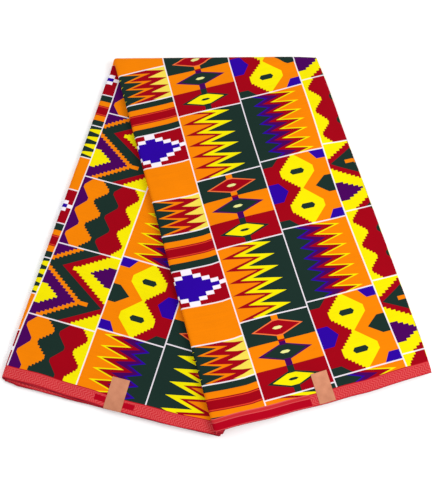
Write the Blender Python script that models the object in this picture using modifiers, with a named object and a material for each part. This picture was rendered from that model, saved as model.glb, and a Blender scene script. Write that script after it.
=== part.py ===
# A three-yard cut of wax print cotton, halved three times into a flat bundle of eight
# layers and then folded once more over a slanting crease. Its halves splay into an
# upside-down V: the front leg lies over the back leg and sags to the table beside it.
# A blank foil label is stuck over the selvages of each leg.

import math

import bmesh
import bpy

# Driving dimensions, in metres.
CLOTH_WIDTH = 1.22  # selvage to selvage, down one leg and up the other
PANEL = 0.3385  # width of the bundle, a little under an eighth of three yards
SHEET = 0.0010  # cloth thickness with its crumple
AIR = 0.0004  # air between two layers
LAYER_COUNT = 8
LEG_ANGLE = math.radians(15.2)  # slant of each leg from straight down
CREASE_AIR = 0.0008  # radius of the air inside the crease
SAG_START = 0.006  # the front leg stays level this far past the back leg's edge
SAG_RUN = 0.096  # and then comes down to the table over this length
CREASE_DRIFT = 0.0055  # the bundle slips this far to the left at the crease
DRIFT_RUN = 0.030  # the back leg loses that slip over this length

# Gentle unevenness of the stack: share of its height, wave lengths and phases.
WAVE_COLUMNS = ("share", "length_x", "length_y", "phase")
WAVE_TABLE = (
    (0.050, 0.270, 0.610, 0.4),
    (0.035, -0.190, 0.330, 2.1),
    (0.025, 0.145, -0.240, 4.0),
)
FLAT_HEM = 0.070  # no unevenness this close to a hem
HEM_EASE = 0.080  # and it grows to its full height over this length

# One row for each layer, in the order in which the cloth runs through the bundle.
# Level 1 is the top of the bundle. A hem is how far the selvage sticks out past the
# nominal hem line of that leg.
LAYER_COLUMNS = ("level", "front_hem", "back_hem")
LAYER_TABLE = (
    (1, -0.0010, 0.0060),
    (8, -0.0030, 0.0030),
    (5, -0.0045, 0.0080),
    (4, -0.0050, 0.0090),
    (3, -0.0045, 0.0080),
    (6, -0.0040, 0.0010),
    (7, -0.0035, 0.0020),
    (2, -0.0025, 0.0075),
)

# One row for each fold, in the same order, with its two levels and how far its round
# edge lies from the spine. The spine's folds lie inside each other, and the fold of
# levels 6 and 7 lies inside that of levels 5 and 8.
TURN_COLUMNS = ("upper", "lower", "side", "edge")
TURN_TABLE = (
    (1, 8, "spine", 0.0000),
    (5, 8, "open", 0.3315),
    (4, 5, "spine", 0.0095),
    (3, 4, "open", 0.3420),
    (3, 6, "spine", 0.0045),
    (6, 7, "open", 0.3290),
    (2, 7, "spine", 0.0016),
)
FREE_EDGES = (PANEL, 0.3360)  # cut ends of the first and the last layer

# Sampling: lines along the legs that every layer shares, and steps of the curves.
SHARED_LINES = (0.012, 0.075, 0.138, 0.201, 0.264, 0.3260)
TURN_STEPS = 4
LEG_STEPS = 8
LEG_GRADING = 1.2  # steps are shorter near the crease, where the front leg starts to sag
HEM_SHARE = 0.975  # every layer shares the steps up to here, and the hems differ past it
CREASE_STEPS = 8

# Foil labels: the layer that they are stuck to, their two long edges, from the spine,
# and how far they reach up from that layer's hem.
LABEL_COLUMNS = ("name", "leg", "level", "near", "far", "length")
LABEL_TABLE = (
    ("label_left", "back", 8, 0.1620, 0.1890, 0.0470),
    ("label_right", "front", 1, 0.1620, 0.1870, 0.0480),
)
LABEL_FOIL = 0.0005
LABEL_GAP = 0.0006  # clear of the cloth's face and of its hem
LABEL_LIP = 0.0030  # height of the lip that turns down over the hem

PITCH = SHEET + AIR
STACK = LAYER_COUNT * PITCH - AIR
CREASE_OUTER = CREASE_AIR + STACK
CREASE_HEIGHT = STACK + CREASE_AIR
FRONT_SPINE = (CLOTH_WIDTH + PANEL * math.tan(LEG_ANGLE)) / 2
LEG_SIGN = {"front": 1, "back": -1}

COTTON_COLOUR = (0.80, 0.20, 0.03, 1.0)
FOIL_COLOUR = (0.66, 0.27, 0.15, 1.0)
COLLECTION_NAME = "wax_print_fabric"


def clear_scene():
    for item in list(bpy.data.objects):
        bpy.data.objects.remove(item, do_unlink=True)


def make_material(name, colour, roughness, metallic):
    material = bpy.data.materials.new(name)
    material.use_nodes = True
    shader = material.node_tree.nodes["Principled BSDF"]
    shader.inputs["Base Color"].default_value = colour
    shader.inputs["Roughness"].default_value = roughness
    shader.inputs["Metallic"].default_value = metallic
    return material


def smooth_step(value):
    value = min(max(value, 0.0), 1.0)
    return value * value * (3.0 - 2.0 * value)


def rows(columns, table):
    return [dict(zip(columns, row)) for row in table]


def level_height(level):
    """Height of a level's middle above the underside of the flat bundle."""
    return (LAYER_COUNT - level) * PITCH + SHEET / 2


def leg_length(leg, across):
    """Length of a leg from the crease line to its nominal hem."""
    if leg == "front":
        return FRONT_SPINE - across * math.tan(LEG_ANGLE)
    return CLOTH_WIDTH - FRONT_SPINE + across * math.tan(LEG_ANGLE)


def plan_point(leg, across, down):
    """Where a point of a leg lies, seen from above."""
    sign = LEG_SIGN[leg]
    start = CREASE_OUTER / math.cos(LEG_ANGLE)
    if leg == "front":
        share = (down - start) / (leg_length(leg, across) - start)
        slip = CREASE_DRIFT * (1.0 - share)
    else:
        slip = CREASE_DRIFT * math.exp((start - down) / DRIFT_RUN)
    x = across / math.cos(LEG_ANGLE) + sign * down * math.sin(LEG_ANGLE) - slip
    return x, -down * math.cos(LEG_ANGLE)


def sag_share(x, y):
    """How much of the back leg's height still carries the front leg at a place."""
    past_back_leg = x * math.cos(LEG_ANGLE) - y * math.sin(LEG_ANGLE) - PANEL
    return 1.0 - smooth_step((past_back_leg - SAG_START) / SAG_RUN)


def unevenness(x, y, to_hem):
    total = 0.0
    for wave in rows(WAVE_COLUMNS, WAVE_TABLE):
        turns = x / wave["length_x"] + y / wave["length_y"]
        total += wave["share"] * math.sin(2 * math.pi * turns + wave["phase"])
    return total * smooth_step((to_hem - FLAT_HEM) / HEM_EASE)


def uneven_height(height, x, y, to_hem):
    """The lowest layer stays flat, and what is above it rises and falls."""
    floor = SHEET / 2
    return floor + (height - floor) * (1.0 + unevenness(x, y, to_hem))


def leg_point(leg, across, height, share, hem):
    """A point of a leg: share runs from 0 at the crease to 1 at the hem."""
    start = CREASE_OUTER / math.cos(LEG_ANGLE)
    end = leg_length(leg, across)
    down = start + (end - start) * share
    if share == 1.0:
        down += hem
    x, y = plan_point(leg, across, down)
    if leg == "front":
        rise = (STACK + 2 * CREASE_AIR) * sag_share(x, y) + height
    else:
        rise = STACK - height
    return x, y, uneven_height(rise, x, y, end - down)


def crease_point(across, height, angle):
    """A point of the half turn over the crease: angle runs from 0 in front to pi."""
    radius = CREASE_AIR + height
    shear = CREASE_OUTER * math.tan(LEG_ANGLE) * (1.0 - 2.0 * angle / math.pi)
    x = across / math.cos(LEG_ANGLE) + shear - CREASE_DRIFT
    y = radius * math.sin(angle) - CREASE_OUTER
    z = CREASE_HEIGHT + radius * math.cos(angle)
    return x, y, uneven_height(z, x, -CREASE_OUTER, FLAT_HEM + HEM_EASE)


def turn_points(turn, start_height, end_height, hems):
    """The round edge between two layers."""
    radius = abs(end_height - start_height) / 2
    middle = (start_height + end_height) / 2
    reach = radius + SHEET / 2
    if turn["side"] == "spine":
        centre = turn["edge"] + reach
        outward = -1
    else:
        centre = turn["edge"] - reach
        outward = 1
    swing = 1 if end_height > start_height else -1
    points = []
    for step in range(TURN_STEPS + 1):
        share = step / TURN_STEPS
        angle = math.pi * share
        across = centre + outward * radius * math.sin(angle)
        height = middle - swing * radius * math.cos(angle)
        front = hems[0][0] + (hems[1][0] - hems[0][0]) * share
        back = hems[0][1] + (hems[1][1] - hems[0][1]) * share
        points.append((across, height, front, back))
    return points


def section_points():
    """Points across the whole bundle, along the cloth from one cut end to the other."""
    layers = rows(LAYER_COLUMNS, LAYER_TABLE)
    turns = rows(TURN_COLUMNS, TURN_TABLE)
    points = []
    for index, layer in enumerate(layers):
        height = level_height(layer["level"])
        hem = (layer["front_hem"], layer["back_hem"])
        if index == 0:
            points.append((FREE_EDGES[0], height) + hem)
        lines = SHARED_LINES if index % 2 else SHARED_LINES[::-1]
        points.extend((across, height) + hem for across in lines)
        if index == LAYER_COUNT - 1:
            points.append((FREE_EDGES[1], height) + hem)
            break
        following = layers[index + 1]
        next_hem = (following["front_hem"], following["back_hem"])
        next_height = level_height(following["level"])
        points.extend(turn_points(turns[index], height, next_height, (hem, next_hem)))
    return points


def stations():
    """Places along the cloth, from the front hem over the crease to the back hem."""
    even_shares = [step / LEG_STEPS for step in range(1, LEG_STEPS + 1)]
    shares = [HEM_SHARE * share ** LEG_GRADING for share in even_shares] + [1.0]
    steps = [("front", share) for share in shares[::-1]]
    steps += [("crease", math.pi * step / CREASE_STEPS) for step in range(CREASE_STEPS + 1)]
    steps += [("back", share) for share in shares]
    return steps


def place(section, station):
    across, height, front_hem, back_hem = section
    kind, value = station
    if kind == "crease":
        return crease_point(across, height, value)
    hem = front_hem if kind == "front" else back_hem
    return leg_point(kind, across, height, value, hem)


def split_squares(mesh):
    """Splits each square along the diagonal that is the same, from above, in every
    layer, so that neighbouring layers stay parallel."""
    forward = []
    backward = []
    for face in mesh.faces:
        spread = [vert.co.x for vert in face.verts]
        middle = sum(spread) / len(spread)
        (forward if runs_to_open_edge(middle) else backward).append(face)
    bmesh.ops.triangulate(mesh, faces=forward, quad_method="FIXED")
    bmesh.ops.triangulate(mesh, faces=backward, quad_method="ALTERNATE")


def runs_to_open_edge(column):
    """True where the cloth, at this column of the grid, runs away from the spine."""
    per_layer = len(SHARED_LINES) + TURN_STEPS + 1
    return int((column + TURN_STEPS / 2) // per_layer) % 2 == 1


def build_cloth(collection):
    sections = section_points()
    along = stations()
    mesh = bmesh.new()
    columns = len(sections) - 1
    lines = len(along) - 1
    bmesh.ops.create_grid(mesh, x_segments=columns, y_segments=lines, size=1.0)
    for vert in mesh.verts:
        vert.co.x = round((vert.co.x + 1.0) / 2.0 * columns)
        vert.co.y = round((vert.co.y + 1.0) / 2.0 * lines)
    split_squares(mesh)
    for vert in mesh.verts:
        vert.co = place(sections[int(vert.co.x)], along[int(vert.co.y)])
    return finish_sheet("cloth", mesh, SHEET, collection)


def build_label(label, collection):
    """A strip of foil, flat on the leg's top face, with a lip down over the hem."""
    layers = {row["level"]: row for row in rows(LAYER_COLUMNS, LAYER_TABLE)}
    hem = layers[label["level"]][label["leg"] + "_hem"]
    top = STACK + LABEL_GAP + LABEL_FOIL / 2
    lip = hem + LABEL_GAP + LABEL_FOIL / 2
    profile = ((hem - label["length"], top), (lip, top), (lip, top - LABEL_LIP))
    mesh = bmesh.new()
    bmesh.ops.create_grid(mesh, x_segments=1, y_segments=2, size=1.0)
    for vert in mesh.verts:
        across = label["near"] if vert.co.x < 0 else label["far"]
        past_hem, height = profile[round(vert.co.y) + 1]
        if label["leg"] == "back":
            height = STACK - height
        vert.co = leg_point(label["leg"], across, height, 1.0, past_hem)
    return finish_sheet(label["name"], mesh, LABEL_FOIL, collection)


def finish_sheet(name, mesh, thickness, collection):
    bmesh.ops.recalc_face_normals(mesh, faces=mesh.faces)
    data = bpy.data.meshes.new(name)
    mesh.to_mesh(data)
    mesh.free()
    sheet = bpy.data.objects.new(name, data)
    collection.objects.link(sheet)
    solidify = sheet.modifiers.new("thickness", "SOLIDIFY")
    solidify.thickness = thickness
    solidify.offset = 0.0
    solidify.use_even_offset = True
    return sheet


def centre_on_table(sheets):
    """Moves everything so that the middle of its box stands over the origin."""
    bpy.context.view_layer.update()
    graph = bpy.context.evaluated_depsgraph_get()
    xs, ys, zs = [], [], []
    for sheet in sheets:
        for vert in sheet.evaluated_get(graph).data.vertices:
            xs.append(vert.co.x)
            ys.append(vert.co.y)
            zs.append(vert.co.z)
    shift = (-(min(xs) + max(xs)) / 2, -(min(ys) + max(ys)) / 2, -min(zs))
    for sheet in sheets:
        sheet.location = shift


def main():
    clear_scene()
    collection = bpy.data.collections.new(COLLECTION_NAME)
    bpy.context.scene.collection.children.link(collection)
    cotton = make_material("printed cotton", COTTON_COLOUR, 0.85, 0.0)
    foil = make_material("copper foil paper", FOIL_COLOUR, 0.35, 0.6)
    cloth = build_cloth(collection)
    cloth.data.materials.append(cotton)
    sheets = [cloth]
    for label in rows(LABEL_COLUMNS, LABEL_TABLE):
        sheet = build_label(label, collection)
        sheet.data.materials.append(foil)
        sheets.append(sheet)
    centre_on_table(sheets)


main()
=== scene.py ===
# A three-yard cut of strip-pattern wax print, folded into a flat bundle of eight layers and
# then over a slanting crease, with its print, its selvages and two blank foil labels.

import math

import bpy
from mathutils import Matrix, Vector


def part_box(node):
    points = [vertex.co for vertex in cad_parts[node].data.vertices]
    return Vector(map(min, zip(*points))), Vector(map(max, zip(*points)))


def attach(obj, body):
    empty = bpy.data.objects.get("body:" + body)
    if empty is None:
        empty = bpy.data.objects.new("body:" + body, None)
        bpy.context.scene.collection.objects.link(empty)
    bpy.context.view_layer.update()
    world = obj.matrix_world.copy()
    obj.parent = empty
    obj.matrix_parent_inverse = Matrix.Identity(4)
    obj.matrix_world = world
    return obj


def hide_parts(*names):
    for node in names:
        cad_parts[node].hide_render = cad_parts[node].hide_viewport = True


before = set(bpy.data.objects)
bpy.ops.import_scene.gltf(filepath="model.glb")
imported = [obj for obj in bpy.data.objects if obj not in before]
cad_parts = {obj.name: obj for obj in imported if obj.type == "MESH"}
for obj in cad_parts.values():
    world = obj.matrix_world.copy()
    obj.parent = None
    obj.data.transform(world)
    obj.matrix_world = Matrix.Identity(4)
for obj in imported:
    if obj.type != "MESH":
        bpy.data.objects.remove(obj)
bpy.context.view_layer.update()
print("frame loaded")


def linearColour(hexCode):
    channels = [int(hexCode[place:place + 2], 16) / 255 for place in (0, 2, 4)]
    linear = [c / 12.92 if c <= 0.04045 else ((c + 0.055) / 1.055) ** 2.4 for c in channels]
    return (*linear, 1.0)


def addNode(tree, kind, links=(), output=0, **settings):
    node = tree.nodes.new("ShaderNode" + kind)
    for name, value in settings.items():
        setattr(node, name, value)
    pairs = links.items() if isinstance(links, dict) else enumerate(links)
    for place, value in pairs:
        if isinstance(value, bpy.types.NodeSocket):
            tree.links.new(value, node.inputs[place])
        else:
            node.inputs[place].default_value = value
    return node.outputs[output]


# The fold: the same sheet as the solid's, with more steps and thinner cloth

cloth = {
    "width": 1.22,  # selvage to selvage, down one leg and up the other
    "length": 2.66,  # cut end to cut end, measured along the folds
    "panel": 0.3385,  # width of the bundle
    "stack": 0.0108,  # height of the eight layers
    "sheet": 0.0006,  # the cloth itself
    "layers": 8,
    "legAngle": math.radians(15.2),
    "creaseAir": 0.0008,
    "sagStart": 0.006,  # the front leg stays level this far past the back leg
    "sagRun": 0.096,  # and comes down to the table over this length
    "creaseDrift": 0.0055,  # slip of the bundle at the crease
    "driftRun": 0.030,
    "flatHem": 0.070,
    "hemEase": 0.080,
    "lineCount": 26,  # lines down each layer
    "lineGrading": 1.25,  # they lie closer together near the spine
    "turnSteps": 8,
    "legSteps": 50,
    "legGrading": 1.15,
    "hemShare": 0.980,
    "creaseSteps": 20,
    "hemRipple": 0.0005,  # the selvages wander by this much
    "hemRippleRun": 0.085,
    "hemRippleShift": 311.0,  # turns for each metre of height, so that no two layers are alike
    "cornerTab": 0.0058,  # under layers stick out this far at the front leg's inner corner
    "tabWidth": 0.012,
    "tabFade": 0.006,
    "backTab": (0.018, 0.007),  # on the back leg they stick out fully from here, over this length
    "backFade": (0.040, 0.190),  # and go back under the top layer from here, over this length
    "backShares": (0.2, 1.1),  # shares of the stagger taken back at the spine and at the far end
    "turnSquash": 0.75,  # below 1 flattens the round edges
    "spineSwell": 0.0045,  # the back leg is wider at its spine by this much near the crease
    "swellWidth": 0.110,
    "swellStart": 0.08,  # share of the leg in which it grows
    "openSwell": (0.290, 0.045),  # the front leg's open edge swells from here, over this length
}

# share of the stack's height, wave lengths, phase
waveTable = (
    (0.050, 0.270, 0.610, 0.4),
    (0.035, -0.190, 0.330, 2.1),
    (0.025, 0.145, -0.240, 4.0),
)

# level from the top, and how far the selvage sticks out past the hem line of the front leg
# and of the back leg
layerTable = (
    (1, 0.0000, 0.0036),
    (8, -0.0018, 0.0000),
    (5, -0.0034, 0.0060),
    (4, -0.0040, 0.0067),
    (3, -0.0034, 0.0060),
    (6, -0.0028, 0.0018),
    (7, -0.0024, 0.0010),
    (2, -0.0014, 0.0052),
)

# the hem lines aren't straight: place across, and how far they stick out there
hemLines = {
    "front": (
        (0.000, -0.0026),
        (0.060, -0.0017),
        (0.110, -0.0008),
        (0.160, 0.0000),
        (0.235, 0.0009),
        (0.265, -0.0005),
        (0.290, -0.0005),
        (0.345, -0.0025),
    ),
    "back": (
        (0.000, 0.0040),
        (0.054, 0.0036),
        (0.090, 0.0042),
        (0.160, 0.0065),
        (0.210, 0.0070),
        (0.245, 0.0062),
        (0.280, 0.0050),
        (0.345, 0.0014),
    ),
}

# neither is the crease: place across, and how far it stands out there
creaseLine = (
    (0.000, 0.0000),
    (0.066, 0.0000),
    (0.106, 0.0018),
    (0.145, 0.0030),
    (0.205, 0.0031),
    (0.244, 0.0036),
    (0.270, 0.0043),
    (0.304, 0.0043),
    (0.345, 0.0012),
)

# share of the front leg, and how far its open edge swells there
openLine = (
    (0.00, 0.0000),
    (0.15, 0.0026),
    (0.38, 0.0045),
    (0.60, 0.0036),
    (0.92, 0.0028),
    (1.00, 0.0000),
)

# side and place of the round edge after each layer but the last
turnTable = (
    ("spine", 0.0000),
    ("open", 0.3315),
    ("spine", 0.0095),
    ("open", 0.3402),
    ("spine", 0.0045),
    ("open", 0.3290),
    ("spine", 0.0016),
)
freeEdges = (cloth["panel"], 0.3360)  # cut ends of the first and the last layer
lineReach = (0.012, 0.3260)  # the lines that all layers share run between these

pitch = (cloth["stack"] - cloth["sheet"]) / (cloth["layers"] - 1)
slope = math.tan(cloth["legAngle"])
spineLength = (cloth["width"] + cloth["panel"] * slope) / 2
creaseOuter = cloth["creaseAir"] + cloth["stack"]
legStart = creaseOuter / math.cos(cloth["legAngle"])

# How the print lies on the cloth, in metres
register = {
    "length": 1.228,  # from one selvage to the other, as printed
    "pull": 0.018,  # the print is shorter by this much for each metre across
    "lean": 0.0180,  # it has slid this far across at the back leg's hem
    "pinch": 0.0058,  # and is drawn in this much by the spine
    "pinchWidth": 0.110,
    "pinchEnd": 0.85,  # share of the back leg
    "bow": 0.005,  # its lines bow this much on the front leg
    "spread": 0.0195,  # and spread by this share of the width towards its hem
    "skewRun": 0.4,  # by its spine they skew, fully from this share of the leg
}

# place across the front leg, and how far down the skewed print has moved there
skewLine = (
    (0.000, -0.0028),
    (0.030, 0.0000),
    (0.062, 0.0020),
    (0.085, 0.0000),
    (0.345, 0.0000),
)


def smoothStep(value):
    value = min(max(value, 0.0), 1.0)
    return value * value * (3.0 - 2.0 * value)


def levelHeight(level):
    return (cloth["layers"] - level) * pitch + cloth["sheet"] / 2


def readTable(table, place):
    for (low, start), (high, end) in zip(table, table[1:]):
        if place <= high:
            return start + (end - start) * (place - low) / (high - low)
    return end


def legLength(leg, across):
    if leg == "front":
        return spineLength - across * slope
    return cloth["width"] - spineLength + across * slope


def swell(leg, across, share):
    # how far the leg's outer edge stands out past a straight line
    if leg == "front":
        start, run = cloth["openSwell"]
        return readTable(openLine, share) * smoothStep((across - start) / run)
    outward = cloth["spineSwell"] * max(1.0 - across / cloth["swellWidth"], 0.0)
    return -outward * smoothStep(share / cloth["swellStart"]) * math.sqrt(max(1.0 - share, 0.0))


def planPoint(leg, across, down):
    angle = cloth["legAngle"]
    share = (down - legStart) / (legLength(leg, across) - legStart)
    if leg == "front":
        slip = cloth["creaseDrift"] * (1.0 - share)
        x = across / math.cos(angle) + down * math.sin(angle) - slip
    else:
        slip = cloth["creaseDrift"] * math.exp((legStart - down) / cloth["driftRun"])
        x = across / math.cos(angle) - down * math.sin(angle) - slip
    return x + swell(leg, across, share), -down * math.cos(angle)


def sagShare(x, y):
    angle = cloth["legAngle"]
    past = x * math.cos(angle) - y * math.sin(angle) - cloth["panel"]
    return 1.0 - smoothStep((past - cloth["sagStart"]) / cloth["sagRun"])


def unevenHeight(height, x, y, toHem):
    total = 0.0
    for share, lengthX, lengthY, phase in waveTable:
        total += share * math.sin(2 * math.pi * (x / lengthX + y / lengthY) + phase)
    total *= smoothStep((toHem - cloth["flatHem"]) / cloth["hemEase"])
    floor = cloth["sheet"] / 2
    return floor + (height - floor) * (1.0 + total)


def legPoint(leg, across, height, share, hem):
    end = legLength(leg, across)
    down = legStart + (end - legStart) * share
    if share == 1.0:
        down += hem
    x, y = planPoint(leg, across, down)
    if leg == "front":
        rise = (cloth["stack"] + 2 * cloth["creaseAir"]) * sagShare(x, y) + height
    else:
        rise = cloth["stack"] - height
    return x, y, unevenHeight(rise, x, y, end - down)


def creasePoint(across, height, angle):
    radius = cloth["creaseAir"] + height
    shear = creaseOuter * slope * (1.0 - 2.0 * angle / math.pi)
    x = across / math.cos(cloth["legAngle"]) + shear - cloth["creaseDrift"]
    y = (radius + readTable(creaseLine, across)) * math.sin(angle) - creaseOuter
    z = cloth["stack"] + cloth["creaseAir"] + radius * math.cos(angle)
    return x, y, unevenHeight(z, x, -creaseOuter, cloth["flatHem"] + cloth["hemEase"])


def turnPoints(side, edge, start, end):
    # rounded edge from one layer's height to the next one's
    radius = abs(end[1] - start[1]) / 2
    reach = radius + cloth["sheet"] / 2
    outward = -1 if side == "spine" else 1
    centre = edge - outward * reach
    for step in range(cloth["turnSteps"] + 1):
        share = step / cloth["turnSteps"]
        bulge = max(math.sin(math.pi * share), 0.0) ** cloth["turnSquash"]
        across = centre + outward * radius * bulge
        height = start[1] + (end[1] - start[1]) * (1.0 - math.cos(math.pi * share)) / 2
        hems = [a + (b - a) * share for a, b in zip(start[2:], end[2:])]
        yield (across, height, *hems)


def sectionPoints():
    # across, height, front hem and back hem, along the cloth from one cut end to the other
    low, high = lineReach
    last = cloth["lineCount"] - 1
    shares = [(step / last) ** cloth["lineGrading"] for step in range(last + 1)]
    lines = [low + (high - low) * share for share in shares]
    points = [(freeEdges[0], levelHeight(layerTable[0][0]), *layerTable[0][1:])]
    for index, (level, frontHem, backHem) in enumerate(layerTable):
        layer = (0.0, levelHeight(level), frontHem, backHem)
        order = lines if index % 2 else lines[::-1]
        points.extend((across, *layer[1:]) for across in order)
        if index < len(turnTable):
            level, *hems = layerTable[index + 1]
            following = (0.0, levelHeight(level), *hems)
            points.extend(turnPoints(*turnTable[index], layer, following))
    points.append((freeEdges[1], *layer[1:]))
    return points


def printedAcross(section):
    # how far each point lies along the print, from the middle of the first spine fold
    reached = [0.0]
    for before, after in zip(section, section[1:]):
        reached.append(reached[-1] + math.dist(before[:2], after[:2]))
    middle = 1 + cloth["lineCount"] + cloth["turnSteps"] // 2
    return [length - reached[middle] for length in reached]


def stations():
    # from the front hem over the crease to the back hem
    count = cloth["legSteps"]
    shares = [(step / count) ** cloth["legGrading"] for step in range(1, count + 1)]
    shares = [cloth["hemShare"] * share for share in shares] + [1.0]
    steps = [("front", share) for share in reversed(shares)]
    turns = cloth["creaseSteps"]
    steps += [("crease", math.pi * step / turns) for step in range(turns + 1)]
    return steps + [("back", share) for share in shares]


def hemOffset(leg, across, height, layerHem):
    # how far a layer's selvage really sticks out at a place across the leg
    turns = across / cloth["hemRippleRun"] + height * cloth["hemRippleShift"]
    hem = layerHem + cloth["hemRipple"] * math.sin(2 * math.pi * turns)
    hem += readTable(hemLines[leg], across)
    if leg == "back":
        grown = smoothStep((across - cloth["backTab"][0]) / cloth["backTab"][1])
        gone = smoothStep((across - cloth["backFade"][0]) / cloth["backFade"][1])
        atSpine, atFarEnd = cloth["backShares"]
        return hem - layerHem * (atSpine * (1.0 - grown) + atFarEnd * gone)
    # 0 on the top layer and 1 on every layer under it
    under = smoothStep(layerHem / layerTable[1][1]) ** 3
    corner = 1.0 - smoothStep((across - cloth["tabWidth"]) / cloth["tabFade"])
    return hem + cloth["cornerTab"] * under * corner


def sheetPoint(section, along, station):
    # a point of the sheet, its place on the print, and its distance from the selvage
    across, height, *layerHems = section
    kind, value = station
    ends = {leg: legLength(leg, across) - legStart for leg in ("front", "back")}
    farSide = register["length"] - register["pull"] * across - ends["back"]
    if kind == "crease":
        share = value / math.pi
        printed = (along, ends["front"] + (farSide - ends["front"]) * share)
        return creasePoint(across, height, value), printed, (along, min(ends.values()))
    hem = hemOffset(kind, across, height, layerHems[kind == "back"])
    place = legPoint(kind, across, height, value, hem)
    down = ends[kind] * value
    if value == 1.0:
        down += hem
    inward = ends[kind] + hem - down
    if kind == "front":
        slid = along - register["bow"] * math.sin(math.pi * value)
        slid += register["spread"] * across * value ** 2
        skew = readTable(skewLine, across) * smoothStep(value / register["skewRun"])
        return place, (slid, ends["front"] - down + skew), (slid, inward)
    pinch = math.sin(math.pi * min(value / register["pinchEnd"], 1.0))
    pinch *= max(1.0 - across / register["pinchWidth"], 0.0)
    slid = along + register["lean"] * value - register["pinch"] * pinch
    return place, (slid, farSide + down), (slid, inward)


def selectOnly(piece):
    bpy.ops.object.select_all(action="DESELECT")
    piece.select_set(True)
    bpy.context.view_layer.objects.active = piece


def addGrid(name, columns, rows):
    # a flat grid whose points sit at whole numbers, ready to be bent
    bpy.ops.object.select_all(action="DESELECT")
    bpy.ops.mesh.primitive_grid_add(x_subdivisions=columns, y_subdivisions=rows, size=2.0)
    piece = bpy.context.object
    piece.name = name
    piece.data.name = name
    for vert in piece.data.vertices:
        vert.co.x = round((vert.co.x + 1.0) / 2.0 * columns)
        vert.co.y = round((vert.co.y + 1.0) / 2.0 * rows)
    piece.data.uv_layers[0].name = "print"
    piece.data.uv_layers.new(name="selvage")
    return piece


def thickenSheet(piece, thickness):
    smoothAngle = math.radians(40)
    selectOnly(piece)
    bpy.ops.object.mode_set(mode="EDIT")
    bpy.ops.mesh.select_all(action="SELECT")
    bpy.ops.mesh.normals_make_consistent(inside=False)
    bpy.ops.object.mode_set(mode="OBJECT")
    solidify = piece.modifiers.new("thickness", "SOLIDIFY")
    solidify.thickness = thickness
    solidify.offset = 0.0
    solidify.use_even_offset = True
    bpy.ops.object.modifier_apply(modifier=solidify.name)
    bpy.ops.object.shade_smooth_by_angle(angle=smoothAngle)


def bendGrid(piece, bend):
    # bend(column, row) gives a point and its places on the UV maps
    mesh = piece.data
    places = []
    for vert in mesh.vertices:
        vert.co, *maps = bend(round(vert.co.x), round(vert.co.y))
        places.append(maps)
    for number, layer in enumerate(mesh.uv_layers):
        for loop in mesh.loops:
            layer.data[loop.index].uv = places[loop.vertex_index][number]


def foldedCloth():
    section = sectionPoints()
    along = printedAcross(section)
    steps = stations()
    piece = addGrid("folded_cloth", len(section) - 1, len(steps) - 1)
    bendGrid(piece, lambda column, row: sheetPoint(section[column], along[column], steps[row]))
    thickenSheet(piece, cloth["sheet"])
    return piece


def solidShift(piece):
    # the fold is worked out from the crease, and this is the way from there to the solid
    low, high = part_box("cloth")
    xs = [vert.co.x for vert in piece.data.vertices]
    return (low.x + high.x - min(xs) - max(xs)) / 2, high.y


def movePiece(piece, shift):
    for vert in piece.data.vertices:
        vert.co.x += shift[0]
        vert.co.y += shift[1]


# Foil labels: the leg, how far the lower end lies past the leg's hem line, both long edges
# from the spine, and the length
labels = {
    "label_left": ("back", 0.0, 0.1620, 0.1890, 0.0470),
    "label_right": ("front", -0.0020, 0.1620, 0.1870, 0.0453),
}
foil = {
    "thickness": 0.00015,
    "gap": 0.0004,  # clear of the cloth's face
    "overhang": 0.0012,  # the lower end turns down over this length
    "droop": 0.0009,
    "curl": 0.0007,  # the upper end has come loose a little
    "curlRun": 0.006,
    "crumple": 0.00015,
    "crumpleRuns": (0.0199, 0.0239),  # wave lengths across and along
    "crumplePhase": 1.0,
    "grid": (14, 26),
    "pale": "D08C6A",
    "deep": "A8684C",
    "cloudScale": 90.0,
    "cloudTone": 0.8,
    "rubbed": (0.004, 0.030, 0.25),  # by the hem the tone is deeper: it fades between these, by this much
    "roughness": (0.36, 0.61),
    "metal": 0.35,
    "gloss": 0.30,
    "bump": (0.35, 0.0002),  # strength, and height of the dents
}


def labelPoint(leg, pastHem, near, far, length, column, row):
    across = near + (far - near) * column / foil["grid"][0]
    toEdge = (length + foil["overhang"]) * row / foil["grid"][1] - foil["overhang"]
    end = legLength(leg, across)
    down = end + hemOffset(leg, across, cloth["stack"], pastHem) - toEdge
    x, y = planPoint(leg, across, down)
    top = cloth["stack"]
    if leg == "front":
        top += (cloth["stack"] + 2 * cloth["creaseAir"]) * sagShare(x, y)
    runAcross, runAlong = foil["crumpleRuns"]
    ripple = math.sin(2 * math.pi * across / runAcross + foil["crumplePhase"])
    ripple *= math.sin(2 * math.pi * toEdge / runAlong)
    z = unevenHeight(top, x, y, end - down) + foil["gap"] + foil["crumple"] * (1.0 + ripple)
    z += foil["curl"] * smoothStep(1.0 - (length - toEdge) / foil["curlRun"])
    z -= foil["droop"] * smoothStep(-toEdge / foil["overhang"])
    place = (across - near, toEdge)
    return (x, y, z), place, place


def foilLabel(name, row):
    piece = addGrid(name.replace("label", "foil_label"), *foil["grid"])
    bendGrid(piece, lambda column, line: labelPoint(*row, column, line))
    thickenSheet(piece, foil["thickness"])
    return piece


# Printed cotton

inks = {name: linearColour(hexCode) for name, hexCode in {
    "orange": "E87C00",
    "yellow": "E8DA00",
    "crimson": "960012",
    "green": "182C26",
    "purple": "440054",
    "indigo": "290096",
    "white": "ECE4EC",
    "pale": "DCDC8C",
    "flame": "DA3E26",
    "coral": "E86E38",
    "cream": "E8D04C",
    "selvage": "C02A30",
    "fret": "D04E50",
    "plain red": "A8001A",
    # painted shade: the thin dark line along each hem
    "edge": "8C1228",
}.items()}

strips = {
    "width": 0.109,  # of each column of blocks
    "start": 0.024,  # the first column starts this far from the spine, on the back leg
    "repeat": 0.242,  # length after which a column's blocks come round again
    "softEdge": 0.0004,  # the dye creeps this far at the edge of a printed shape
    "line": 0.0020,  # width of the white lines between the blocks
    "lineTint": 0.86,
}


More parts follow.
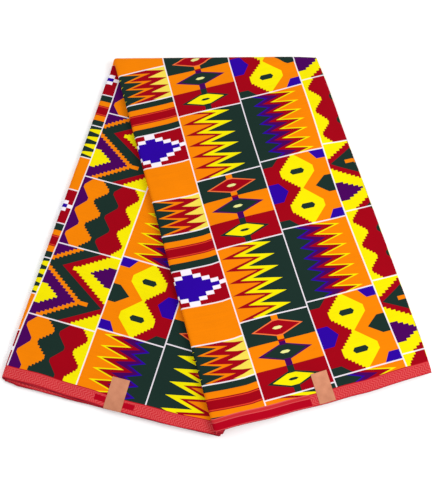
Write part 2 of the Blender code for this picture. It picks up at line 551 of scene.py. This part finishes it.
def paintOver(tree, ground, mask, ink):
    # ground and ink are names of inks or colours
    colour = inks[ink] if isinstance(ink, str) else ink
    ground = inks[ground] if isinstance(ground, str) else ground
    return addNode(tree, "Mix", {0: mask, 6: ground, 7: colour}, output=2, data_type="RGBA")


def triangleWave(tree, along, valley, peak):
    # 0 at the valley, 1 at the peak and straight between
    half = peak - valley
    turns = addNode(tree, "Math", (along, 1 / half, -valley / half), operation="MULTIPLY_ADD")
    return addNode(tree, "Math", (turns, 1.0), operation="PINGPONG")


def bluntWave(tree, wave):
    # the same wave with its tips cut off
    cut = 0.15
    return addNode(tree, "Math", (wave, 1.0 + 2 * cut, -cut), operation="MULTIPLY_ADD", use_clamp=True)


def stepped(tree, along, step):
    # makes slanting edges notched, like the weave of a real strip cloth
    down = addNode(tree, "Math", (along, step), operation="SNAP")
    return addNode(tree, "Math", (down, step / 2), operation="ADD")


def paintEdges(tree, ground, across, rows):
    # each row's ink covers all past a line that runs between low and high with its wave
    sharp = strips["width"] / strips["softEdge"]
    for wave, low, high, ink in rows:
        line = (wave, sharp * (low - high), 0.5 - sharp * low)
        edge = addNode(tree, "Math", line, operation="MULTIPLY_ADD")
        mask = addNode(tree, "Math", (across, sharp, edge), operation="MULTIPLY_ADD", use_clamp=True)
        ground = paintOver(tree, ground, mask, ink)
    return ground


def fromCentre(tree, place, centre):
    offset = addNode(tree, "Math", (place, centre), operation="SUBTRACT")
    return addNode(tree, "Math", (offset,), operation="ABSOLUTE")


def paintShapes(tree, ground, across, along, rows):
    # hexagons with points left and right: a taper of 1 makes a diamond, 0 a bar
    for x, y, halfX, halfY, taper, ink in rows:
        rise = addNode(tree, "Math", (fromCentre(tree, along, y), 1 / halfY), operation="MULTIPLY")
        cut = addNode(tree, "Math", (rise, taper), operation="MULTIPLY")
        fromX = fromCentre(tree, across, x)
        slant = addNode(tree, "Math", (fromX, 1 / halfX, cut), operation="MULTIPLY_ADD")
        size = addNode(tree, "Math", (rise, slant), operation="MAXIMUM")
        sharp = strips["width"] * halfX / strips["softEdge"]
        rim = (size, -sharp, sharp + 0.5)
        mask = addNode(tree, "Math", rim, operation="MULTIPLY_ADD", use_clamp=True)
        ground = paintOver(tree, ground, mask, ink)
    return ground


def paintBands(tree, along, rows):
    # plain bands, each from its start to the next one
    colour = addNode(tree, "ValToRGB", (along,))
    ramp = colour.node.color_ramp
    ramp.interpolation = "CONSTANT"
    stops = ramp.elements
    stops[0].color = inks[rows[0][1]]
    stops.remove(stops[1])
    for start, ink in rows[1:]:
        stops.new(start).color = inks[ink]
    return colour


def stripeBlock(tree, x, y):
    return paintBands(tree, y, (
        (0.0, "green"), (0.20, "orange"), (0.345, "crimson"), (0.370, "flame"), (0.392, "crimson"),
        (0.61, "flame"), (0.632, "crimson"), (0.657, "orange"), (0.82, "green"),
    ))


def toothBlock(tree, x, y):
    teeth = triangleWave(tree, y, valley=0.155, peak=0.2725)
    return paintEdges(tree, "cream", x, (
        (teeth, 0.01, 0.30, "crimson"),
        (teeth, 0.25, 0.60, "orange"),
        (teeth, 0.40, 0.685, "green"),
        (teeth, 0.705, 1.15, "yellow"),
    ))


def lozengeBlock(tree, x, y):
    # a stepped diamond in indigo, edged with nine rows of white bars
    centreX, centreY = 0.505, 0.487
    rowStep, barStep, wideHalf = 0.1025, 0.1124, 0.076
    lastRow, edgeBar = 4.0, 3.0
    fromY = fromCentre(tree, y, centreY)
    row = addNode(tree, "Math", (fromY, 1 / rowStep, 0.5), operation="MULTIPLY_ADD")
    row = addNode(tree, "Math", (row,), operation="FLOOR")
    row = addNode(tree, "Math", (row, lastRow), operation="MINIMUM")
    fromX = fromCentre(tree, x, centreX)
    bar = addNode(tree, "Math", (fromX, 1 / barStep, -wideHalf / barStep), operation="MULTIPLY_ADD")
    bar = addNode(tree, "Math", (bar,), operation="FLOOR")
    place = addNode(tree, "Math", (row, bar), operation="ADD")
    inside = addNode(tree, "Math", (place, edgeBar - 0.5), operation="LESS_THAN")
    onBar = addNode(tree, "Math", (place, edgeBar, 0.5), operation="COMPARE")
    return paintOver(tree, paintOver(tree, "crimson", inside, "indigo"), onBar, "white")


def plainBlock(tree, x, y):
    return inks["orange"]


def beadBlock(tree, x, y):
    # three pointed beads on a stem, over three bands
    stemPlace, stemHalf = 0.49, 0.047
    ground = paintBands(tree, y, ((0.0, "green"), (0.33, "orange"), (0.65, "crimson")))
    stem = paintBands(tree, y, (
        (0.0, "orange"), (0.32, "crimson"), (0.345, "purple"), (0.45, "green"), (0.55, "purple"),
        (0.66, "green"),
    ))
    fromStem = addNode(tree, "Math", (x, stemPlace, stemHalf), operation="COMPARE")
    ground = paintOver(tree, ground, fromStem, stem)
    return paintShapes(tree, ground, x, y, (
        (0.49, 0.17, 0.375, 0.104, 0.90, "coral"),
        (0.49, 0.17, 0.330, 0.088, 0.88, "crimson"),
        (0.49, 0.17, 0.075, 0.018, 0.50, "pale"),
        (0.49, 0.48, 0.395, 0.104, 0.90, "purple"),
        (0.49, 0.48, 0.310, 0.086, 0.80, "green"),
        (0.49, 0.48, 0.075, 0.018, 0.50, "pale"),
        (0.48, 0.826, 0.375, 0.102, 0.90, "green"),
        (0.48, 0.826, 0.295, 0.076, 0.80, "yellow"),
        (0.48, 0.826, 0.075, 0.016, 0.50, "green"),
    ))


def flameBlock(tree, x, y):
    flames = triangleWave(tree, y, valley=0.1455, peak=0.062)
    return paintEdges(tree, "orange", x, (
        (flames, 0.028, 0.472, "crimson"),
        (flames, 0.20, 0.585, "yellow"),
        (flames, 0.372, 0.79, "green"),
    ))


def sparkBlock(tree, x, y):
    sparks = triangleWave(tree, y, valley=0.1198, peak=0.047)
    return paintEdges(tree, "green", x, (
        (sparks, 0.17, 0.38, "indigo"),
        (sparks, 0.225, 0.42, "purple"),
        (sparks, 0.31, 0.60, "crimson"),
        (sparks, 0.438, 0.79, "yellow"),
        (sparks, 0.505, 0.87, "orange"),
    ))


def eyeBlock(tree, x, y):
    # two yellow eyes between a crimson and an orange half, with half hexagons at the sides
    rightHalf = addNode(tree, "Math", (x, 0.5), operation="GREATER_THAN")
    ground = paintOver(tree, "crimson", rightHalf, "orange")
    notched = stepped(tree, y, step=0.031)
    along = addNode(tree, "Mix", {0: rightHalf, 2: notched, 3: y}, data_type="FLOAT")
    ground = paintShapes(tree, ground, along, x, (
        (0.25, 0.50, 0.26, 0.258, 0.83, "yellow"),
        (0.75, 0.50, 0.26, 0.258, 0.83, "yellow"),
    ))
    return paintShapes(tree, ground, x, y, (
        (0.50, 0.25, 0.112, 0.038, 0.30, "green"),
        (0.50, 0.75, 0.112, 0.038, 0.30, "green"),
        (0.0, 0.50, 0.28, 0.135, 0.40, "indigo"),
        (0.0, 0.0, 0.29, 0.11, 0.45, "green"),
        (0.0, 1.0, 0.29, 0.11, 0.45, "green"),
        (1.0, 0.50, 0.29, 0.12, 0.60, "green"),
        (1.0, 0.0, 0.25, 0.13, 0.40, "indigo"),
        (1.0, 1.0, 0.25, 0.13, 0.40, "indigo"),
    ))


def mountainBlock(tree, x, y):
    smooth = triangleWave(tree, y, valley=0.28, peak=0.70)
    steps = stepped(tree, y, step=0.030)
    notched = triangleWave(tree, steps, valley=0.28, peak=0.70)
    ground = paintEdges(tree, "purple", x, (
        (notched, -0.14, 0.58, "orange"),
        (notched, -0.04, 0.68, "green"),
        (smooth, 0.20, 0.97, "crimson"),
        (notched, 0.38, 1.10, "yellow"),
    ))
    ground = paintShapes(tree, ground, x, steps, (
        (0.00, 0.70, 0.31, 0.130, 0.72, "yellow"),
        (1.00, 0.28, 0.37, 0.135, 0.74, "purple"),
    ))
    return paintShapes(tree, ground, x, y, (
        (0.70, 0.70, 0.060, 0.026, 0.0, "orange"),
        (0.42, 0.28, 0.050, 0.026, 0.0, "yellow"),
        (0.00, 0.00, 0.110, 0.060, 0.0, "purple"),
        (1.00, 1.00, 0.200, 0.070, 0.0, "yellow"),
    ))


def rippleBlock(tree, x, y):
    steps = stepped(tree, y, step=0.030)
    smooth = bluntWave(tree, triangleWave(tree, y, valley=0.3125, peak=0.135))
    notched = bluntWave(tree, triangleWave(tree, steps, valley=0.3125, peak=0.135))
    return paintEdges(tree, "purple", x, (
        (smooth, 0.18, 0.05, "orange"),
        (notched, 0.28, 0.45, "green"),
        (smooth, 0.67, 0.53, "crimson"),
        (notched, 0.80, 0.94, "yellow"),
    ))


# Where each column starts along the cloth, and its blocks from there. A flipped column
# is drawn from its far side, and a turned one from its top.
columnTable = (
    (0.0395, False, False, (mountainBlock, rippleBlock)),
    (0.0330, True, False, (eyeBlock, sparkBlock)),
    (0.0265, True, True, (beadBlock, flameBlock)),
    (0.0080, False, False, (stripeBlock, toothBlock, plainBlock, lozengeBlock)),
)

selvage = {
    "width": 0.0188,
    "fretPitch": 0.0022,  # real frets are narrower still and would not show
    "fretRow": 0.0050,
    "fretDrift": 0.30,  # the rows of the fret run at a slant
    "fretLean": 1.1,  # slope of its strokes
    "fretStroke": 0.56,  # share of the pitch from which there is a stroke
    "fretHeights": (0.10, 0.82),  # share of the band that the fret fills
    "plainFront": (-0.151, 0.0),  # no fret on the front leg from here to the spine
    "plainBack": (0.0, 0.015),  # nor on the back leg beside it
    "patches": ((0.165, 0.182), (0.210, 0.227)),  # plain patches on either side of a label
    "patchHeights": (0.34, 0.78),
}


def countOff(tree, along, step, start, count):
    # the place within each step, from 0 to 1, the step's number, and whether it is on a line
    turns = addNode(tree, "Math", (along, 1 / step, -start / step), operation="MULTIPLY_ADD")
    place = addNode(tree, "Math", (turns,), operation="FRACT")
    number = addNode(tree, "Math", (turns,), operation="FLOOR")
    number = addNode(tree, "Math", (number, count), operation="FLOORED_MODULO")
    fromLine = addNode(tree, "Math", (turns, 0.5), operation="PINGPONG")
    onLine = addNode(tree, "Math", (fromLine, strips["line"] / 2 / step), operation="LESS_THAN")
    return place, number, onLine


def paintColumn(tree, x, v, start, flipped, turned, blocks):
    if flipped:
        x = addNode(tree, "Math", (1.0, x), operation="SUBTRACT")
    count = len(blocks)
    y, number, onLine = countOff(tree, v, strips["repeat"] / count, start, count)
    if turned:
        y = addNode(tree, "Math", (1.0, y), operation="SUBTRACT")
    colour = blocks[0](tree, x, y)
    for index, block in enumerate(blocks[1:], 1):
        here = addNode(tree, "Math", (number, index, 0.5), operation="COMPARE")
        colour = paintOver(tree, colour, here, block(tree, x, y))
    return colour, onLine


def stripPrint(tree, u, v):
    # the whole repeat: four columns side by side, and the white lines round every block
    count = len(columnTable)
    x, number, onSide = countOff(tree, u, strips["width"], strips["start"], count)
    colour, onLine = paintColumn(tree, x, v, *columnTable[0])
    for index, column in enumerate(columnTable[1:], 1):
        here = addNode(tree, "Math", (number, index, 0.5), operation="COMPARE")
        columnColour, columnLine = paintColumn(tree, x, v, *column)
        colour = paintOver(tree, colour, here, columnColour)
        onLine = addNode(tree, "Mix", {0: here, 2: onLine, 3: columnLine}, data_type="FLOAT")
    onAny = addNode(tree, "Math", (onLine, onSide), operation="MAXIMUM")
    tinted = addNode(tree, "Math", (onAny, strips["lineTint"]), operation="MULTIPLY")
    return paintOver(tree, colour, tinted, "white")


def within(tree, value, limits):
    low, high = limits
    return addNode(tree, "Math", (value, (low + high) / 2, (high - low) / 2), operation="COMPARE")


def selvagePrint(tree, colour, u, inward):
    # a red band with a plain fret at both selvages, between a thin light line above and, along the hem, a
    # thin dark line that is painted shade
    height = addNode(tree, "Math", (inward, 1 / selvage["width"]), operation="MULTIPLY")
    # the dark first band along the hem is painted shade
    bands = paintBands(tree, height, (
        (0.0, "edge"), (0.03, "selvage"), (0.86, "fret"), (0.90, "selvage"), (0.96, "plain red"),
    ))
    drifting = addNode(tree, "Math", (u, selvage["fretDrift"], inward), operation="MULTIPLY_ADD")
    bent = addNode(tree, "Math", (drifting, selvage["fretRow"]), operation="PINGPONG")
    leaning = addNode(tree, "Math", (bent, selvage["fretLean"], u), operation="MULTIPLY_ADD")
    turns = addNode(tree, "Math", (leaning, selvage["fretPitch"]), operation="PINGPONG")
    strokeStart = selvage["fretPitch"] * selvage["fretStroke"]
    stroke = addNode(tree, "Math", (turns, strokeStart), operation="GREATER_THAN")
    inFret = within(tree, height, selvage["fretHeights"])
    onStroke = addNode(tree, "Math", (stroke, inFret), operation="MULTIPLY")
    plainBack = within(tree, u, selvage["plainBack"])
    fretted = addNode(tree, "Math", (onStroke, plainBack), operation="SUBTRACT", use_clamp=True)
    bands = paintOver(tree, bands, fretted, "fret")
    near, far = (within(tree, u, patch) for patch in selvage["patches"])
    patches = addNode(tree, "Math", (near, far), operation="ADD")
    inPatch = within(tree, height, selvage["patchHeights"])
    onPatch = addNode(tree, "Math", (patches, inPatch), operation="MULTIPLY")
    bands = paintOver(tree, bands, onPatch, "plain red")
    # here too the dark first band along the hem is painted shade
    plainBands = paintBands(tree, height, (
        (0.0, "edge"), (0.04, "fret"), (0.09, "plain red"), (0.66, "fret"), (0.71, "selvage"),
        (0.92, "fret"),
    ))
    bands = paintOver(tree, bands, within(tree, u, selvage["plainFront"]), plainBands)
    onBand = addNode(tree, "Math", (inward, selvage["width"]), operation="LESS_THAN")
    return paintOver(tree, colour, onBand, bands)


cotton = {
    "thread": 0.0010,  # real threads are 0.3 mm apart, and are drawn coarser so that they show
    "slub": (9.0, 420.0, 1.0),  # uneven yarns run along the cloth in thin streaks
    "slubTone": 0.06,
    "slubHeight": 1.5,  # beside the height of the threads, which is 1
    "dyeScale": 26.0,  # patches where the wax let in more or less dye
    "dyeTone": 0.07,
    "roughness": (0.72, 0.88),
    "ior": 1.45,
    "gloss": 0.05,
    "bump": (0.5, 0.00006),  # strength, and height of the weave
}


def splitPlace(tree, mapName):
    place = addNode(tree, "UVMap", uv_map=mapName)
    across = addNode(tree, "SeparateXYZ", (place,))
    return place, across, across.node.outputs[1]


def shadeBy(tree, colour, noise, depth):
    # darkens by up to the depth: the noise is mostly between a quarter and three quarters
    tone = addNode(tree, "Math", (noise, 2 * depth, 1.0 - 1.5 * depth), operation="MULTIPLY_ADD")
    settings = {"output": 2, "data_type": "RGBA", "blend_type": "MULTIPLY"}
    return addNode(tree, "Mix", {0: 1.0, 6: colour, 7: tone}, **settings)


def weaveHeight(tree, u, v):
    # over and under: the threads of both directions swell in turn
    halfWave = math.pi / cotton["thread"]
    warp = addNode(tree, "Math", (u, halfWave), operation="MULTIPLY")
    warp = addNode(tree, "Math", (warp,), operation="SINE")
    weft = addNode(tree, "Math", (v, halfWave), operation="MULTIPLY")
    weft = addNode(tree, "Math", (weft,), operation="SINE")
    return addNode(tree, "Math", (warp, weft, 1.0), operation="MULTIPLY_ADD")


def printedCotton():
    # Plain-weave cotton, wax printed on both sides: flat strong inks, a dry face with thin
    # streaks of uneven yarn, and no clear highlight
    material = bpy.data.materials.new("wax printed cotton")
    material.use_nodes = True
    tree = material.node_tree
    shader = tree.nodes["Principled BSDF"]
    place, u, v = splitPlace(tree, "print")
    colour = stripPrint(tree, u, v)
    _, along, inward = splitPlace(tree, "selvage")
    colour = selvagePrint(tree, colour, along, inward)
    streaks = addNode(tree, "Mapping", {0: place, 3: cotton["slub"]})
    slub = addNode(tree, "TexNoise", {0: streaks, 2: 1.0, 3: 2.0})
    colour = shadeBy(tree, colour, slub, cotton["slubTone"])
    dye = addNode(tree, "TexNoise", {0: place, 2: cotton["dyeScale"], 3: 3.0})
    colour = shadeBy(tree, colour, dye, cotton["dyeTone"])
    tree.links.new(colour, shader.inputs["Base Color"])
    low, high = cotton["roughness"]
    rough = addNode(tree, "Math", (slub, high - low, low), operation="MULTIPLY_ADD")
    tree.links.new(rough, shader.inputs["Roughness"])
    threads = weaveHeight(tree, u, v)
    height = addNode(tree, "Math", (slub, cotton["slubHeight"], threads), operation="MULTIPLY_ADD")
    strength, depth = cotton["bump"]
    bump = addNode(tree, "Bump", {"Strength": strength, "Distance": depth, "Height": height})
    tree.links.new(bump, shader.inputs["Normal"])
    shader.inputs["IOR"].default_value = cotton["ior"]
    shader.inputs["Specular IOR Level"].default_value = cotton["gloss"]
    return material


def foilPaper():
    # Metallised paper, printed in copper and rubbed by hand: a soft, cloudy metal gloss
    material = bpy.data.materials.new("copper foil paper")
    material.use_nodes = True
    tree = material.node_tree
    shader = tree.nodes["Principled BSDF"]
    place, _, toHem = splitPlace(tree, "print")
    clouds = addNode(tree, "TexNoise", {0: place, 2: foil["cloudScale"], 3: 3.0})
    start, end, deeper = foil["rubbed"]
    lowEnd = addNode(tree, "MapRange", {0: toHem, 1: start, 2: end, 3: deeper, 4: 0.0})
    tone = addNode(tree, "Math", (clouds, foil["cloudTone"], lowEnd), operation="MULTIPLY_ADD")
    colour = paintOver(tree, linearColour(foil["pale"]), tone, linearColour(foil["deep"]))
    tree.links.new(colour, shader.inputs["Base Color"])
    low, high = foil["roughness"]
    rough = addNode(tree, "Math", (clouds, high - low, low), operation="MULTIPLY_ADD")
    tree.links.new(rough, shader.inputs["Roughness"])
    strength, depth = foil["bump"]
    bump = addNode(tree, "Bump", {"Strength": strength, "Distance": depth, "Height": clouds})
    tree.links.new(bump, shader.inputs["Normal"])
    shader.inputs["Metallic"].default_value = foil["metal"]
    shader.inputs["Specular IOR Level"].default_value = foil["gloss"]
    return material


piece = foldedCloth()
shift = solidShift(piece)
movePiece(piece, shift)
piece.data.materials.append(printedCotton())
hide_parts("cloth")
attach(piece, "root")
print("cloth folded:", len(piece.data.polygons), "faces")

paper = foilPaper()
for node, row in labels.items():
    piece = foilLabel(node, row)
    movePiece(piece, shift)
    piece.data.materials.append(paper)
    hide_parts(node)
    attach(piece, "root")
print("labels stuck on")

# Floor, light and camera

floorPaint = {
    "size": 6.0,
    "colour": "FAFAFA",
    "roughness": 0.9,
}
bpy.ops.object.select_all(action="DESELECT")
bpy.ops.mesh.primitive_plane_add(size=floorPaint["size"])
floor = bpy.context.object
floor.name = "floor"
paint = bpy.data.materials.new("matt white paint")
paint.use_nodes = True
shader = paint.node_tree.nodes["Principled BSDF"]
shader.inputs["Base Color"].default_value = linearColour(floorPaint["colour"])
shader.inputs["Roughness"].default_value = floorPaint["roughness"]
floor.data.materials.append(paint)

light = {
    "sky": 1.02,
    "keyPlace": (1.25, -0.25, 1.35),
    "keySize": 0.8,
    "keyPower": 13.0,
}
world = bpy.data.worlds.new("soft studio")
bpy.context.scene.world = world
world.use_nodes = True
sky = world.node_tree.nodes["Background"]
sky.inputs["Color"].default_value = (1.0, 1.0, 1.0, 1.0)
sky.inputs["Strength"].default_value = light["sky"]
bpy.ops.object.light_add(type="AREA", location=light["keyPlace"])
key = bpy.context.object
key.name = "key light"
key.data.size = light["keySize"]
key.data.energy = light["keyPower"]
key.rotation_euler = (-key.location).to_track_quat("-Z", "Y").to_euler()

view = {
    "tilt": math.radians(18.1),
    "distance": 1.126,
    "aim": (0.176, -0.341),  # from the crease's left end
    "lens": 50.9,
    "sensor": 36.0,
}
bpy.ops.object.camera_add()
camera = bpy.context.object
camera.data.lens = view["lens"]
camera.data.sensor_width = view["sensor"]
camera.location = (
    view["aim"][0] + shift[0],
    view["aim"][1] + shift[1] - view["distance"] * math.sin(view["tilt"]),
    view["distance"] * math.cos(view["tilt"]),
)
camera.rotation_euler = (view["tilt"], 0.0, 0.0)
bpy.context.scene.camera = camera
bpy.context.scene.view_settings.view_transform = "Standard"
print("stage set")
